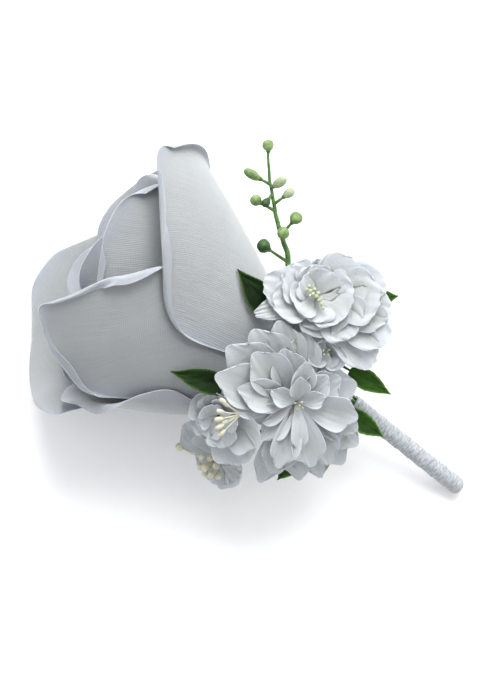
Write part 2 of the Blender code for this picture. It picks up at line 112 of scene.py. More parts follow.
# Rose petals: ring, level inside the ring, rows of (height along the axis, angle from, angle to) and
# margins. Angle 0 is the rose's right flank, 90 its upper side, 180 its left flank and 270 the side it
# lies on. A margin is a side, the width of the strip that turns outward at even steps along it, how far
# it turns in degrees, and the radius of the turn.
ROSE_PETALS = {
    "rose_petal_right": ("outer", 0, (
        (3, 10, 60), (12, -15, 86), (22, -28, 93), (33, -32, 94), (42, -26, 88), (50, -8, 76),
        (55, 8, 68), (59, 22, 58), (62, 35, 50)), (
        ("to", (0.3, 0.4, 0.8, 2.2, 4.6, 5.2, 2.2, 0.2), 165, 0.7),)),
    "rose_petal_front": ("outer", 1, (
        (3, 75, 115), (12, 58, 130), (25, 55, 140), (38, 60, 142), (45, 72, 140), (50, 78, 137),
        (56, 86, 130), (61, 91, 125), (65, 99, 120), (69, 106, 112)), (
        ("from", (0.2, 0.2, 0.2, 0.2, 1.2, 4.4, 4.0, 1.8, 0.3), 150, 0.9),
        ("to", (0.4, 0.4, 0.6, 1.0, 3.2, 4.6, 4.4, 2.0, 0.2), 160, 0.8))),
    "rose_petal_left": ("outer", 0, (
        (3, 170, 215), (12, 148, 235), (25, 129, 245), (34, 132, 248), (40, 139, 246),
        (44, 149, 236), (47, 162, 222)), ()),
    "rose_petal_back_left": ("outer", 1, (
        (3, 225, 285), (12, 205, 300), (25, 198, 310), (40, 198, 305), (46, 191, 302), (51, 184, 300),
        (58, 202, 290), (63, 228, 284), (68, 248, 272)), ()),
    "rose_petal_back_right": ("outer", 2, (
        (3, 290, 345), (12, 275, 360), (25, 265, 372), (38, 265, 373), (48, 268, 362),
        (54, 270, 346), (58, 273, 326), (61, 277, 302)), ()),
    "rose_petal_inner_1": ("second", 0, (
        (8, 40, 90), (20, 15, 110), (38, 5, 122), (52, 12, 118), (60, 30, 105), (64, 50, 85)), ()),
    "rose_petal_inner_2": ("second", 1, (
        (8, 130, 180), (20, 105, 200), (38, 95, 196), (50, 98, 172), (56, 103, 150), (61, 111, 136),
        (64, 117, 129)), ()),
    "rose_petal_inner_3": ("second", 0, (
        (8, 215, 265), (20, 195, 285), (36, 185, 297), (46, 192, 290), (53, 208, 274), (56, 226, 256)), ()),
    "rose_petal_inner_4": ("second", 1, (
        (8, 300, 350), (20, 280, 370), (38, 270, 382), (49, 278, 372), (55, 292, 352), (59, 305, 335)), ()),
    "rose_petal_heart_1": ("third", 0, (
        (13, 20, 100), (26, -5, 130), (42, -10, 140), (53, 5, 125), (59, 30, 100), (61, 50, 80)), ()),
    "rose_petal_heart_2": ("third", 1, (
        (13, 140, 220), (26, 110, 245), (40, 105, 255), (50, 120, 240), (55, 145, 215), (57, 165, 195)), ()),
    "rose_petal_heart_3": ("third", 0, (
        (13, 255, 320), (26, 228, 345), (40, 222, 348), (50, 235, 335), (55, 260, 310), (57, 275, 295)), ()),
    "rose_petal_bud_1": ("bud", 0, (
        (18, 0, 150), (30, -30, 190), (45, -30, 190), (57, -10, 170), (63, 40, 120)), ()),
    "rose_petal_bud_2": ("bud", 1, (
        (18, 190, 330), (30, 165, 355), (45, 165, 355), (57, 185, 335), (63, 220, 300)), ()),
}

# Blossoms: the way the face looks, then layers, lowest first. A layer is its node's last word and
# petals as (direction, length, half width, climb at the foot, change of climb to the tip, cup, tilt).
BLOSSOMS = {
    "blossom_a": ((0.22, 0.22, 0.95), (
        ("outer_layer", (
            (198, 18.5, 3.2, 12, -16, 0.22, 6), (333, 24.0, 7.0, 8, -16, 0.20, 6),
            (314, 25.0, 6.2, 4, -26, 0.24, 6), (352, 21.9, 7.4, 12, -14, 0.12, 6),
            (15, 20.5, 7.4, 16, -16, 0.10, 6), (43, 15.5, 7.2, 20, -16, 0.10, 6),
            (74, 11.0, 6.4, 24, -16, 0.12, 6), (107, 10.0, 6.2, 26, -16, 0.12, 6),
            (138, 11.8, 6.4, 24, -16, 0.10, 6), (169, 15.7, 6.6, 18, -16, 0.12, 6),
            (226, 14.4, 6.4, 2, -16, 0.14, 6), (262, 13.4, 6.4, 0, -18, 0.16, 6))),
        ("middle_layer", (
            (0, 17.5, 8.2, 22, -18, 0.12, 6), (34, 14.5, 7.8, 26, -18, 0.10, 6),
            (90, 8.6, 6.8, 34, -18, 0.12, 6), (150, 11.0, 7.2, 30, -18, 0.12, 6),
            (197, 13.6, 6.4, 24, -18, 0.14, 6), (232, 10.0, 6.6, 22, -18, 0.16, 6),
            (282, 11.8, 7.0, 18, -20, 0.20, 6), (318, 15.0, 7.8, 18, -20, 0.16, 6))),
        ("inner_layer", (
            (255, 8.4, 5.6, 34, -22, 0.18, 6), (308, 9.6, 6.4, 32, -22, 0.18, 6),
            (203, 8.6, 5.6, 38, -24, 0.16, 6), (140, 6.6, 5.4, 46, -26, 0.16, 6),
            (62, 7.0, 5.6, 44, -24, 0.14, 6), (5, 9.6, 6.6, 34, -22, 0.14, 6))),
    )),
    "blossom_b": ((0.16, -0.22, 0.96), (
        ("outer_layer", (
            (251, 26.8, 4.6, -2, -28, 0.24, 4), (276, 25.2, 5.0, -2, -28, 0.24, 4),
            (290, 26.6, 4.6, -6, -26, 0.22, 4), (306, 25.6, 5.4, 0, -28, 0.22, 4),
            (322, 23.4, 5.6, 8, -28, 0.22, 4), (12, 18.0, 6.6, 10, -16, 0.14, 6),
            (48, 14.5, 6.0, 12, -18, 0.14, 6), (66, 18.5, 5.2, 18, -22, 0.18, 6),
            (84, 20.6, 5.6, 22, -22, 0.18, 6), (103, 24.4, 6.2, 22, -22, 0.18, 6),
            (121, 25.4, 7.4, 24, -18, 0.14, 6), (139, 27.2, 7.4, 28, -18, 0.14, 4),
            (156, 26.6, 6.4, 34, -16, 0.16, 6), (172, 21.5, 4.8, 36, -18, 0.20, 6))),
        ("second_layer", (
            (252, 21.8, 5.2, 14, -36, 0.26, 4), (277, 21.4, 5.2, 12, -36, 0.26, 4),
            (299, 21.6, 5.2, 12, -34, 0.24, 4), (333, 19.8, 5.6, 12, -24, 0.24, 6),
            (28, 14, 5.0, 18, -20, 0.22, 6), (106, 17.0, 5.4, 34, -28, 0.22, 8),
            (130, 21.0, 6.2, 36, -26, 0.20, 4), (160, 18.8, 4.8, 40, -26, 0.30, 6),
            (188, 15, 4.2, 22, -24, 0.28, 6))),
        ("third_layer", (
            (253, 19.0, 4.2, 26, -48, 0.32, 3), (283, 19.0, 4.8, 24, -48, 0.30, 4),
            (344, 17.8, 5.2, 20, -30, 0.28, 6), (169, 14.6, 3.4, 32, -30, 0.38, 6),
            (196, 13, 3.4, 30, -30, 0.40, -8), (224, 14, 3.8, 26, -36, 0.30, 6),
            (82, 13.0, 3.6, 44, -38, 0.40, 8), (45, 11.5, 4.0, 36, -34, 0.32, 6))),
        ("inner_layer", (
            (271, 13.4, 2.4, 30, -50, 0.40, 0), (90, 8.6, 3.0, 46, -30, 0.40, 6),
            (150, 9.4, 2.8, 42, -34, 0.40, 6), (20, 7.6, 2.8, 42, -30, 0.36, 6))),
    )),
    "blossom_c": ((-0.25, -0.35, 0.90), (
        ("outer_layer", (
            (141, 8.8, 5.0, 26, -16, 0.20, 6), (181, 8.4, 5.4, 18, -16, 0.20, 6),
            (230, 8.6, 5.4, 10, -16, 0.20, 6), (269, 8.8, 5.6, 10, -16, 0.20, 6),
            (300, 15.2, 7.0, 18, -26, 0.20, 6), (338, 13.5, 6.5, 30, -28, 0.22, 6),
            (95, 8.2, 4.8, 40, -24, 0.20, 6), (50, 8.0, 4.6, 46, -24, 0.22, 6))),
        ("inner_layer", (
            (115, 5.2, 3.6, 50, -20, 0.24, 6), (170, 5.0, 3.6, 40, -20, 0.24, 6),
            (232, 6.0, 4.0, 32, -20, 0.24, 6), (292, 8.2, 4.8, 34, -30, 0.24, 6),
            (15, 7.2, 3.6, 52, -30, 0.32, 8))),
    )),
    "blossom_d": ((-0.45, -0.35, 0.82), (
        ("layer", (
            (134, 13.6, 5.0, 18, -20, 0.14, 6), (100, 10.6, 5.0, 28, -20, 0.18, 6),
            (178, 7.0, 4.2, 12, -14, 0.20, 6), (225, 7.0, 4.2, 10, -14, 0.20, 6),
            (268, 8.4, 4.6, 8, -14, 0.18, 6), (318, 9.4, 5.6, 16, -16, 0.14, 6),
            (357, 8.8, 4.6, 24, -18, 0.16, 6), (40, 8, 4.4, 34, -18, 0.18, 6))),
    )),
    "blossom_e": ((0.10, -0.25, 0.96), (
        ("layer", (
            (212, 5.6, 3.2, 58, -40, 0.34, 6), (266, 5.4, 3.6, 54, -44, 0.34, 6),
            (318, 6.6, 3.6, 50, -40, 0.34, 6), (45, 3.4, 2.8, 66, -20, 0.30, 6),
            (135, 3.8, 2.8, 66, -20, 0.30, 6))),
    )),
}

# Stamens of each blossom: finish, foot, thread radius, head radius, head length, and tips as
# (right, upward, out, size of the head), all from the blossom's heart.
STAMENS = {
    "blossom_a": ("thread", (0, 0, 3.0), 0.20, 0.52, 1.3, (
        (-3.6, 0.6, 7.4, 1), (-2.8, 0.2, 8.0, 1), (-3.0, 1.5, 7.2, 1), (-2.2, -0.6, 8.2, 1),
        (-1.4, -1.2, 8.4, 1.1), (-0.8, -2.0, 8.2, 1), (-0.2, -2.9, 7.8, 1), (0.4, -3.8, 7.2, 0.9),
        (-1.8, 0.6, 8.2, 0.9), (-2.8, -0.9, 7.6, 0.9), (-1.0, -0.4, 8.4, 1), (-0.2, -1.7, 8.0, 0.9))),
    "blossom_b": ("thread", (0, 0, 4.0), 0.16, 0.32, 0.8, (
        (-0.9, 0.6, 7.4, 1), (0.6, 0.9, 7.8, 1), (0.9, -0.6, 7.6, 1), (-0.4, -1.0, 7.2, 1),
        (0.1, 0.1, 8.0, 1))),
    "blossom_c": ("pearl", (8.0, 4.0, 6.0), 0.18, 0.72, 3.0, (
        (4.6, 8.4, 11.0, 0.95), (4.2, 6.1, 11.8, 0.9), (4.0, 4.3, 12.2, 1.0), (4.1, 2.4, 12.0, 0.95),
        (4.3, 0.4, 11.4, 0.95), (5.2, 7.3, 10.2, 0.8), (5.0, 3.2, 10.6, 0.8))),
    "blossom_d": ("pearl", (0, 0, 1.6), 0.22, 0.9, 2.0, (
        (-1.6, 1.8, 5.4, 1.0), (0.6, 2.2, 5.8, 0.9), (1.9, 0.5, 5.4, 1.1), (-0.2, 0.1, 6.6, 1.2),
        (-2.2, -0.6, 5.2, 1.0), (0.8, -1.8, 5.6, 1.1), (-1.0, -2.4, 5.0, 0.9), (2.2, -2.4, 4.8, 1.0),
        (0.4, -3.4, 4.4, 0.8), (-9.6, 2.4, 3.4, 1.25))),
    "blossom_e": ("thread", (0, 0, 2.0), 0.16, 0.34, 0.8, (
        (-0.7, 0.4, 4.4, 1), (0.6, 0.6, 4.6, 1), (0.5, -0.7, 4.5, 1), (-0.5, -0.6, 4.2, 1))),
}

# Sprig: points along the main stem with its radius, and the places where berries leave it.
SPRIG_STEM = (
    ((11.5, 12.2, 22.0), 0.84), ((11.8, 17.0, 22.5), 0.78), ((10.2, 22.0, 23.0), 0.70),
    ((8.6, 27.5, 23.5), 0.62), ((7.6, 33.0, 24.0), 0.52), ((6.6, 39.0, 24.0), 0.44),
    ((6.2, 46.1, 24.2), 0.36))
SPRIG_TOP = (6.2, 48.0, 24.4)
BERRIES = {  # where the stalk leaves the stem, radius, length over width, and finish
    "berry_top": ((6.3, 44.5, 24.0), 1.62, 1.0, "green"),
    "berry_pale_1": ((7.0, 36.0, 24.0), 1.40, 1.7, "pale"),
    "berry_pale_2": ((7.9, 31.6, 23.9), 1.30, 1.4, "pale"),
    "berry_long": ((6.9, 37.0, 24.0), 1.35, 2.0, "green"),
    "berry_left": ((8.2, 29.6, 23.7), 1.62, 1.0, "green"),
    "berry_dark_bud": ((7.4, 34.4, 24.0), 1.20, 1.25, "dark"),
    "berry_right": ((9.9, 23.0, 23.1), 1.80, 1.0, "green"),
    "berry_front": ((9.0, 26.0, 23.4), 1.72, 1.0, "green"),
    "berry_low": ((11.6, 15.4, 22.4), 1.95, 1.0, "dark"),
}

# Leaves: base, tip, half width, and how far the blade bows up in the middle.
LEAVES = {
    "leaf_upper_left": ((7.0, 1.5, 37.4), (-2.4, 13.0, 41.2), 4.2, 1.0),
    "leaf_lower_left": ((-6.5, -19.2, 41.9), (-20.8, -15.2, 43.8), 3.4, 1.4),
    "leaf_right_tip": ((33.0, 4.5, 33.0), (42.4, 5.7, 31.0), 3.0, 0.6),
    "leaf_right": ((29.0, -15.0, 27.0), (40.6, -21.8, 22.0), 3.0, 1.0),
    "leaf_stem": ((29.0, -27.4, 18.4), (39.0, -34.0, 14.2), 3.0, 0.8),
    "leaf_bottom": ((16.0, -37.0, 18.0), (9.0, -46.2, 11.5), 3.6, 0.8),
    "leaf_bottom_right": ((22.0, -33.0, 15.5), (21.4, -45.6, 11.0), 3.4, 0.8),
}
LEAF_RISE = 0.26  # the halves of a blade rise this much for each millimetre of width
VEIN_DEPTH = 0.16

STEM_TOP = (30.2, -24.4, 12.5)
STEM_END = (60.8, -48.5, 0.5)
SPRIG_TAIL = (STEM_TOP, (22.0, -8.0, 16.0), (13.5, 4.0, 20.0))  # the sprig's way out of the stem

# ---------------------------------------------------------------- small helpers


def unit(vectors):
    """Vectors scaled to length one."""
    length = np.linalg.norm(vectors, axis=-1, keepdims=True)
    return vectors / np.maximum(length, 1e-9)


def middle(node):
    """The middle of a CAD node's box."""
    low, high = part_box(node)
    return np.array((low + high) / 2) / MM


ORIGIN = middle("berry_top") - np.array(SPRIG_TOP)  # the arrangement's own origin in the row frame


def placed(point):
    """A point of the arrangement in the frame's millimetres."""
    return ORIGIN + np.array(point, float)


def aim(direction):
    """Rows are right, upward and out for something that looks along direction."""
    out = unit(np.array(direction, float))
    upward = unit(np.cross(out, (1.0, 0.0, 0.0)))
    return np.array((np.cross(upward, out), upward, out))


def curve_through(points, count):
    """Evenly counted points on a smooth curve through a few points."""
    knots = np.array([points[0], *points, points[-1]], float)
    step = np.linspace(0.0, len(points) - 1.0, count)
    k = np.minimum(step.astype(int), len(points) - 2)
    t = (step - k)[:, None]
    a, b, c, d = knots[k], knots[k + 1], knots[k + 2], knots[k + 3]
    return 0.5 * (2 * b + (c - a) * t + (2 * a - 5 * b + 4 * c - d) * t**2 + (3 * b - a - 3 * c + d) * t**3)


def eased(values, count):
    """A few values spread evenly and smoothed to count of them."""
    return curve_through([(v, 0.0) for v in values], count)[:, 0]


def waves(x, y, draw, terms=4, finest=3.0):
    """A smooth uneven field from a few sine waves, about -1 to 1."""
    total = np.zeros(np.broadcast(x, y).shape)
    for _ in range(terms):
        fx, fy = draw.uniform(0.4, finest, 2)
        total += np.sin(2 * math.pi * (fx * x + fy * y) + draw.uniform(0, 2 * math.pi))
    return total / math.sqrt(2.0 * terms)


# ---------------------------------------------------------------- meshes


FAR_FROM_HEM = 9.0  # a tube has no hem
SHARP_ANGLE = 62.0  # in degrees: the cut edges stay crisp


class Shape:
    """Collects closed sheets and tubes, with their cloth coordinates, for one piece."""

    def __init__(self):
        self.points, self.faces, self.cloth, self.hem = [], [], [], []
        self.count = 0

    def add(self, points, faces, cloth, hem):
        self.points.append(points)
        self.faces.append(faces + self.count)
        self.cloth.append(cloth)
        self.hem.append(hem)
        self.count += len(points)

    def sheet(self, grid, thickness):
        """A grid of points as thin cloth with two faces and a cut edge. The hem is each point's
        distance from the sides and the last row."""
        rows, columns = grid.shape[:2]
        normal = unit(np.cross(np.gradient(grid, axis=1), np.gradient(grid, axis=0)))
        across = np.linalg.norm(np.diff(grid, axis=1), axis=2)
        along = np.linalg.norm(np.diff(grid, axis=0), axis=2)
        right = np.concatenate((np.zeros((rows, 1)), np.cumsum(across, axis=1)), axis=1)
        tall = np.concatenate((np.zeros((1, columns)), np.cumsum(along, axis=0)), axis=0)
        width = right[:, -1:]
        edge = np.minimum(np.minimum(right, width - right), tall[-1:] - tall)
        cloth = np.stack((right - width / 2, tall), axis=-1).reshape(-1, 2)
        index = np.arange(rows * columns).reshape(rows, columns)
        quads = np.stack((index[:-1, :-1], index[:-1, 1:], index[1:, 1:], index[1:, :-1]), axis=-1)
        quads = quads.reshape(-1, 4)
        under = rows * columns
        loop = np.concatenate((index[0, :-1], index[:-1, -1], index[-1, :0:-1], index[:0:-1, 0]))
        beyond = np.roll(loop, -1)
        rim = np.stack((beyond, loop, loop + under, beyond + under), axis=-1)
        half = normal * thickness / 2
        self.add(
            np.concatenate(((grid + half).reshape(-1, 3), (grid - half).reshape(-1, 3))),
            np.concatenate((quads, quads[:, ::-1] + under, rim)),
            np.concatenate((cloth, cloth)), np.tile(edge.ravel(), 2))

    def tube(self, points, radii, sides=10, push=None):
        """A closed round tube. Push moves each ring point outward by what it returns for (ring, turn)."""
        points, radii = np.array(points, float), np.array(radii, float)
        way = unit(np.gradient(points, axis=0))
        side = np.cross(way[0], UP if abs(way[0][2]) < 0.9 else (1.0, 0.0, 0.0))
        frames = []
        for direction in way:
            side = unit(side - direction * np.dot(side, direction))
            frames.append((side, np.cross(direction, side)))
        turn = np.linspace(0, 2 * math.pi, sides, endpoint=False)
        ring = np.arange(len(points))[:, None]
        reach = radii[:, None] + (push(ring, turn[None, :]) if push else 0.0)
        frames = np.array(frames)
        shell = (points[:, None] + frames[:, None, 0] * (reach * np.cos(turn))[..., None]
                 + frames[:, None, 1] * (reach * np.sin(turn))[..., None])
        rows = len(points)
        index = np.arange(rows * sides).reshape(rows, sides)
        nxt = np.roll(index, -1, axis=1)
        quads = np.stack((index[:-1], nxt[:-1], nxt[1:], index[1:]), axis=-1).reshape(-1, 4)
        first, last = rows * sides, rows * sides + 1
        caps = [(first, nxt[0, k], index[0, k], first) for k in range(sides)]
        caps += [(last, index[-1, k], nxt[-1, k], last) for k in range(sides)]
        length = np.concatenate(([0.0], np.cumsum(np.linalg.norm(np.diff(points, axis=0), axis=1))))
        round_it = np.broadcast_to(turn * max(radii.mean(), 0.01), (rows, sides))
        cloth = np.stack((round_it, np.broadcast_to(length[:, None], (rows, sides))), axis=-1).reshape(-1, 2)
        cloth = np.concatenate((cloth, [(0.0, 0.0), (0.0, length[-1])]))
        self.add(np.concatenate((shell.reshape(-1, 3), points[:1], points[-1:])),
                 np.concatenate((quads, np.array(caps))), cloth, np.full(rows * sides + 2, FAR_FROM_HEM))

    def piece(self, name, finish, slot, *nodes):
        """Makes the object, presses up what would sink into the floor, and lets it stand for its nodes."""
        points = np.concatenate(self.points)
        low = np.minimum(points[:, 2] - FLOOR_GIVE, 0.0)
        rest = FLOOR_GAP + (FLOOR_GIVE - FLOOR_GAP) * np.exp(low / (FLOOR_GIVE - FLOOR_GAP))
        points[:, 2] = np.where(low < 0.0, rest, points[:, 2])
        points = points * MM
        faces = np.concatenate(self.faces).tolist()
        faces = [face[:3] if face[0] == face[3] else face for face in faces]
        cloth, hem = np.concatenate(self.cloth), np.concatenate(self.hem)
        mesh = bpy.data.meshes.new(name)
        mesh.from_pydata(points.tolist(), [], faces)
        corners = np.empty(len(mesh.loops), int)
        mesh.loops.foreach_get("vertex_index", corners)
        mesh.uv_layers.new(name="cloth").data.foreach_set("uv", cloth[corners].astype(np.float32).ravel())
        mesh.attributes.new("hem", "FLOAT", "POINT").data.foreach_set("value", hem.astype(np.float32))
        mesh.shade_smooth()
        mesh.set_sharp_from_angle(angle=math.radians(SHARP_ANGLE))
        mesh.materials.append(finish)
        made = bpy.data.objects.new(name, mesh)
        bpy.context.scene.collection.objects.link(made)
        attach(made, "root")
        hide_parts(*nodes)
        return made


# ---------------------------------------------------------------- materials


def linear(code):
    """An sRGB hex colour as linear light."""
    shares = [int(code[i : i + 2], 16) / 255 for i in (1, 3, 5)]
    return [s / 12.92 if s <= 0.04045 else ((s + 0.055) / 1.055) ** 2.4 for s in shares] + [1.0]


def add_node(tree, kind, settings=None, inputs=None):
    """Adds a node, sets its properties, and sets or links its inputs."""
    node = tree.nodes.new("ShaderNode" + kind)
    for key, value in (settings or {}).items():
        setattr(node, key, value)
    for key, value in (inputs or {}).items():
        if isinstance(value, bpy.types.Node):
            value = value.outputs[0]
        if isinstance(value, bpy.types.NodeSocket):
            tree.links.new(value, node.inputs[key])
        else:
            node.inputs[key].default_value = value
    return node


def start_material(name, constants):
    """A material whose shader holds the uniform numbers on its own sockets."""
    made = bpy.data.materials.new(name)
    made.use_nodes = True
    shader = made.node_tree.nodes["Principled BSDF"]
    for key, value in constants.items():
        shader.inputs[key].default_value = value
    return made, made.node_tree, shader


WARP_RELIEF = 0.45  # the fine warp stands this high beside the weft

# Real threads lie about 0.2 mm apart, too fine to show, so each weave is drawn two to three times coarser.
ROSE_THREAD, BLOSSOM_THREAD, LEAF_THREAD = 0.50, 0.34, 0.55
EDGE_GLOW_PAINT_DEPTH = 7.0  # a painted bluish glow, standing for light through the single layer, reaches this far in from the silk's edge
RAW_EDGE = 0.7  # the leaf cloth's paler raw edge reaches this far in from its edge


def threads(tree, spacing, bias):
    """A plain weave's height from cloth coordinates in millimetres: warp and weft as two sine waves.
    Bias is the angle, in degrees, at which the piece was cut from the cloth."""
    cloth = add_node(tree, "UVMap", {"uv_map": "cloth"})
    place = add_node(tree, "Mapping", None, {"Vector": cloth, "Rotation": (0.0, 0.0, math.radians(bias))})
    parts = add_node(tree, "SeparateXYZ", None, {0: place})
    turns = 2 * math.pi / spacing
    lines = []
    for k, relief in ((0, WARP_RELIEF), (1, 1.0)):
        phase = add_node(tree, "Math", {"operation": "MULTIPLY"}, {0: parts.outputs[k], 1: turns})
        wave = add_node(tree, "Math", {"operation": "SINE"}, {0: phase})
        lines.append(add_node(tree, "Math", {"operation": "MULTIPLY"}, {0: wave, 1: relief}))
    return place, add_node(tree, "Math", {"operation": "ADD"}, {0: lines[0], 1: lines[1]})


def silk(name, body, shade, margin, thread, cloud, weave_depth, glow, bias):
    """Polyester silk, woven, starched and pressed over a hot mould: matt threads with a soft bloom at
    glancing angles, light passing through the single layer, a painted bluish glow (the margin colour) near
    the cut edge for the light shining through there, and uneven starch."""
    made, tree, shader = start_material(name, {
        "Roughness": 0.72, "IOR": 1.45, "Specular IOR Level": 0.3, "Sheen Weight": 0.25,
        "Sheen Roughness": 0.45, "Subsurface Weight": 1.0, "Subsurface Scale": glow,
        "Subsurface Radius": (1.0, 1.0, 1.08)})
    place, weave = threads(tree, thread, bias)
    space = add_node(tree, "TexCoord")
    starch = add_node(tree, "TexNoise", None, {
        "Vector": space.outputs["Object"], "Scale": 1 / (cloud * MM), "Detail": 3.0, "Roughness": 0.55})
    # A slub is a thread that is thicker for a stretch, so it is drawn out along the weft.
    drawn = add_node(tree, "Mapping", None, {"Vector": place, "Scale": (0.05, 1.6, 1.0)})
    slubs = add_node(tree, "TexNoise", None, {"Vector": drawn, "Scale": 1.0, "Detail": 2.0, "Roughness": 0.6})
    blotch = add_node(tree, "MapRange", None, {0: starch, 1: 0.36, 2: 0.66, 3: 0.0, 4: 0.6})
    streak = add_node(tree, "MapRange", None, {0: slubs, 1: 0.4, 2: 0.7, 3: 0.0, 4: 0.4})
    uneven = add_node(tree, "Math", {"operation": "ADD"}, {0: blotch, 1: streak})
    tone = add_node(tree, "Mix", {"data_type": "RGBA"}, {0: uneven, 6: linear(body), 7: linear(shade)})
    # painted light: near the cut edge the colour turns to the bluish margin colour, a painted glow for light
    # passing through the thin silk
    hem = add_node(tree, "Attribute", {"attribute_name": "hem"})
    near = add_node(tree, "MapRange", None, {0: hem.outputs["Fac"], 1: 0.0, 2: EDGE_GLOW_PAINT_DEPTH, 3: 0.9, 4: 0.0})
    colour = add_node(tree, "Mix", {"data_type": "RGBA"}, {0: near, 6: tone.outputs[2], 7: linear(margin)})
    tree.links.new(colour.outputs[2], shader.inputs["Base Color"])
    ridge = add_node(tree, "MapRange", None, {0: slubs, 1: 0.3, 2: 0.7, 3: 0.0, 4: 2.0})
    height = add_node(tree, "Math", {"operation": "ADD"}, {0: weave, 1: ridge})
    bump = add_node(tree, "Bump", None, {"Strength": 0.6, "Distance": weave_depth * MM, "Height": height})
    tree.links.new(bump.outputs[0], shader.inputs["Normal"])
    return made


def leaf_cloth(name, dark, light, thread, rim):
    """Green polyester leaf cloth, woven, dyed and embossed with veins: a waxed matt face, threads that
    show as a fine grid, and a paler raw edge where the die cut it."""
    made, tree, shader = start_material(name, {"Roughness": 0.6, "IOR": 1.46, "Specular IOR Level": 0.15})
    weave = threads(tree, LEAF_THREAD, 0)[1]
    space = add_node(tree, "TexCoord")
    dye = add_node(tree, "TexNoise", None, {
        "Vector": space.outputs["Object"], "Scale": 1 / (5 * MM), "Detail": 4.0, "Roughness": 0.6})
    depth = add_node(tree, "MapRange", None, {0: dye, 1: 0.35, 2: 0.68})
    tone = add_node(tree, "Mix", {"data_type": "RGBA"}, {0: depth, 6: linear(dark), 7: linear(light)})
    high = add_node(tree, "MapRange", None, {0: weave, 1: 0.2, 2: 1.8, 3: 0.0, 4: 0.5})
    grid = add_node(tree, "Mix", {"data_type": "RGBA"}, {0: high, 6: tone.outputs[2], 7: linear(thread)})
    hem = add_node(tree, "Attribute", {"attribute_name": "hem"})
    near = add_node(tree, "MapRange", None, {0: hem.outputs["Fac"], 1: 0.0, 2: RAW_EDGE, 3: 0.75, 4: 0.0})
    colour = add_node(tree, "Mix", {"data_type": "RGBA"}, {0: near, 6: grid.outputs[2], 7: linear(rim)})
    tree.links.new(colour.outputs[2], shader.inputs["Base Color"])
    bump = add_node(tree, "Bump", None, {"Strength": 0.5, "Distance": 0.08 * MM, "Height": weave})
    tree.links.new(bump.outputs[0], shader.inputs["Normal"])
    return made


def moulded(name, body, other, speck, grain, rough, softness):
    """Soft plastic, foam, paste or stiffened cotton under a thin coat of colour: a dull face, with the
    colour pooled in patches and in small pits."""
    made, tree, shader = start_material(name, {
        "Roughness": rough, "IOR": 1.5, "Specular IOR Level": 0.45, "Subsurface Weight": softness,
        "Subsurface Scale": 0.4 * MM, "Subsurface Radius": (0.7, 1.0, 0.5)})
    space = add_node(tree, "TexCoord")
    patches = add_node(tree, "TexNoise", None, {
        "Vector": space.outputs["Object"], "Scale": 1 / (1.8 * MM), "Detail": 4.0, "Roughness": 0.6})
    pits = add_node(tree, "TexNoise", None, {
        "Vector": space.outputs["Object"], "Scale": 1 / (grain * MM), "Detail": 3.0, "Roughness": 0.6})
    pooled = add_node(tree, "MapRange", None, {0: patches, 1: 0.36, 2: 0.66})
    tone = add_node(tree, "Mix", {"data_type": "RGBA"}, {0: pooled, 6: linear(body), 7: linear(other)})
    deep = add_node(tree, "MapRange", None, {0: pits, 1: 0.58, 2: 0.72, 3: 0.0, 4: 0.7})
    colour = add_node(tree, "Mix", {"data_type": "RGBA"}, {0: deep, 6: tone.outputs[2], 7: linear(speck)})
    tree.links.new(colour.outputs[2], shader.inputs["Base Color"])
    bump = add_node(tree, "Bump", None, {"Strength": 0.5, "Distance": 0.12 * MM, "Height": pits})
    tree.links.new(bump.outputs[0], shader.inputs["Normal"])
    return made


def satin_tape():
    """Polyester satin ribbon, woven with long floats and wound tight: bright along the threads, with
    fine creases across where it was pulled round the wires. Painted shade darkens the crease hollows and a
    painted highlight lightens their ridges."""
    made, tree, shader = start_material("wound_satin_ribbon", {
        "Roughness": 0.38, "IOR": 1.48, "Specular IOR Level": 0.55, "Sheen Weight": 0.2,
        "Sheen Roughness": 0.4, "Subsurface Weight": 0.4, "Subsurface Scale": 0.2 * MM})
    place = add_node(tree, "UVMap", {"uv_map": "cloth"})
    drawn = add_node(tree, "Mapping", None, {
        "Vector": place, "Rotation": (0.0, 0.0, math.radians(28)), "Scale": (0.5, 3.2, 1.0)})
    creases = add_node(tree, "TexNoise", None, {
        "Vector": drawn, "Scale": 1.0, "Detail": 4.0, "Roughness": 0.65})
    # painted light: the colour runs from grey in the crease hollows to pale on the crease ridges, painted
    # shade and highlight
    painted_crease_light = add_node(tree, "MapRange", None, {0: creases, 1: 0.34, 2: 0.66})
    colour = add_node(tree, "Mix", {"data_type": "RGBA"}, {
        0: painted_crease_light, 6: linear("#767B7F"), 7: linear("#B9BEC3")})
    tree.links.new(colour.outputs[2], shader.inputs["Base Color"])
    bump = add_node(tree, "Bump", None, {"Strength": 0.8, "Distance": 0.25 * MM, "Height": creases})
    tree.links.new(bump.outputs[0], shader.inputs["Normal"])
    return made


def lacquered_wire():
    """Steel wire dipped in green lacquer: smooth, with the coat thinner in streaks along it."""
    made, tree, shader = start_material("green_lacquered_steel_wire", {"Roughness": 0.35, "IOR": 1.5})
    space = add_node(tree, "TexCoord")
    streaks = add_node(tree, "TexNoise", None, {
        "Vector": space.outputs["Object"], "Scale": 1 / (0.9 * MM), "Detail": 3.0})
    thin = add_node(tree, "MapRange", None, {0: streaks, 1: 0.4, 2: 0.62})
    colour = add_node(tree, "Mix", {"data_type": "RGBA"}, {
        0: thin, 6: linear("#2F4F22"), 7: linear("#48702F")})
    tree.links.new(colour.outputs[2], shader.inputs["Base Color"])
    return made
